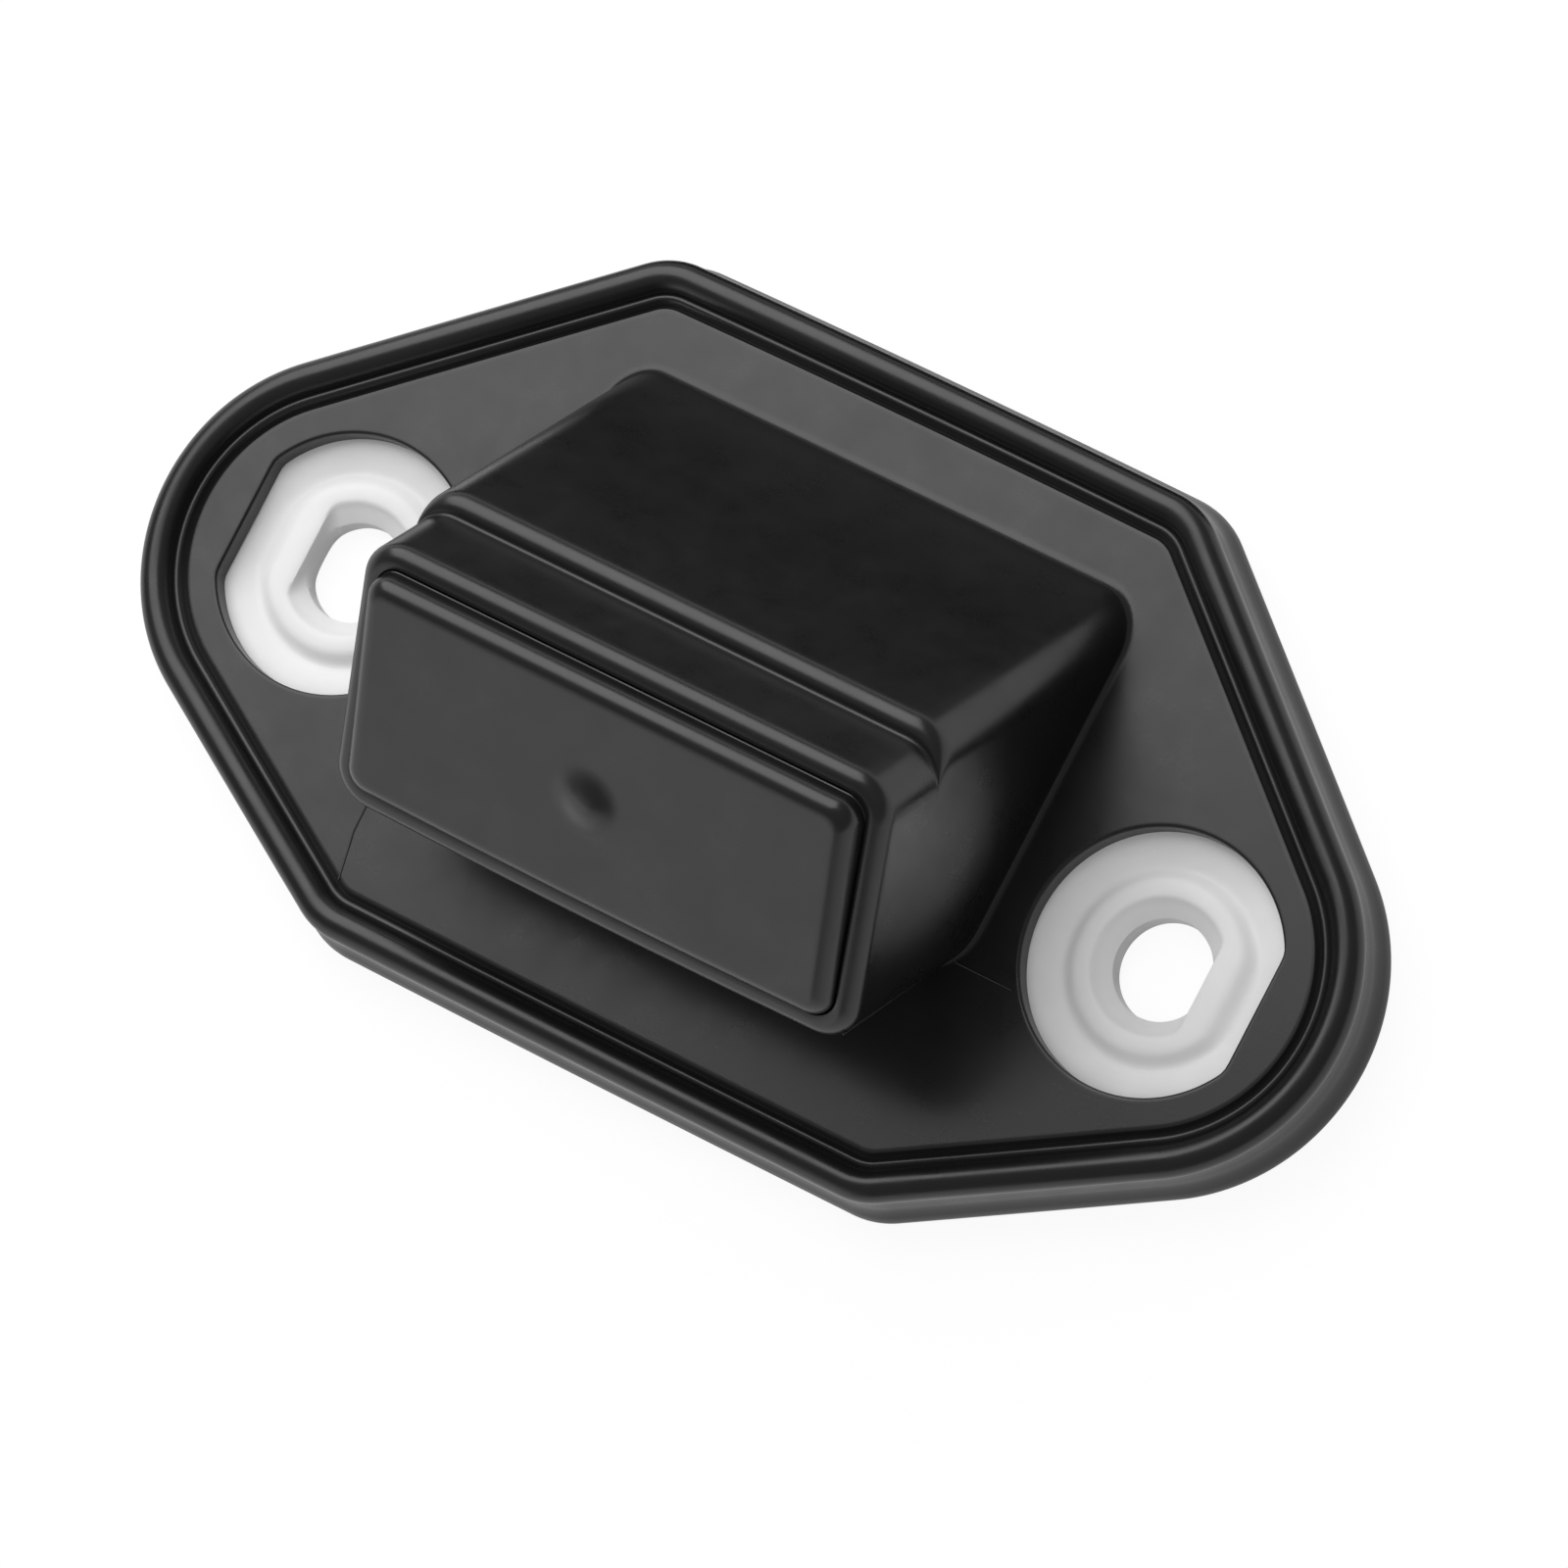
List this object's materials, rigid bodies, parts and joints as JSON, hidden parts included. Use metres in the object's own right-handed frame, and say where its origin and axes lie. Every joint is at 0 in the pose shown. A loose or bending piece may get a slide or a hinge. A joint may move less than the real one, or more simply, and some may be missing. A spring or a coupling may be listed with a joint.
{
  "type": "tailgate lock switch",
  "caption": "Push switch that releases a car tailgate: rubber-booted mounting plate with sealing bead, white screw seats and a leaning block with a press pad.",
  "frame": {"origin": "midway between the two screw holes, in the plane of the back face", "axes": "+X along the plate through both screw holes, +Y towards the wide edge, +Z out of the panel"},
  "size_m": [0.0878, 0.0484, 0.0255],
  "materials": {
    "boot_rubber": "satin moulded rubber",
    "pad_rubber": "satin moulded rubber",
    "white_nylon": "fine matt",
    "natural_nylon": "fine matt",
    "case_plastic": "fine matt",
    "seal_rubber": "matt",
    "cover_plastic": "fine matt",
    "terminal_brass": "stamped sheet",
    "contact_silver": "bright",
    "screw_steel": "zinc plated",
    "spring_steel": "drawn wire"
  },
  "bodies": {
    "housing": {"rubber_boot": "boot_rubber", "base_frame": "white_nylon", "switch_case": "case_plastic", "switch_lid": "case_plastic", "plunger_seal": "seal_rubber", "left_terminal": "terminal_brass", "right_terminal": "terminal_brass", "terminal_contacts": "contact_silver", "rear_cover": "cover_plastic", "cover_gasket": "seal_rubber", "cover_screws": "screw_steel"},
    "pusher": {"push_pad": "pad_rubber", "pad_carrier": "natural_nylon", "plunger": "natural_nylon", "contact_bridge": "terminal_brass", "bridge_contacts": "contact_silver", "return_spring": "spring_steel"}
  },
  "joints": [
    {"name": "pad_press", "type": "slide", "parent": "housing", "child": "pusher", "axis": [0, 0.606, -0.7955], "range_m": [0, 0.0012], "stiffness_N_per_m": 2000, "springref_m": -0.002, "deforming": ["return_spring"]}
  ]
}
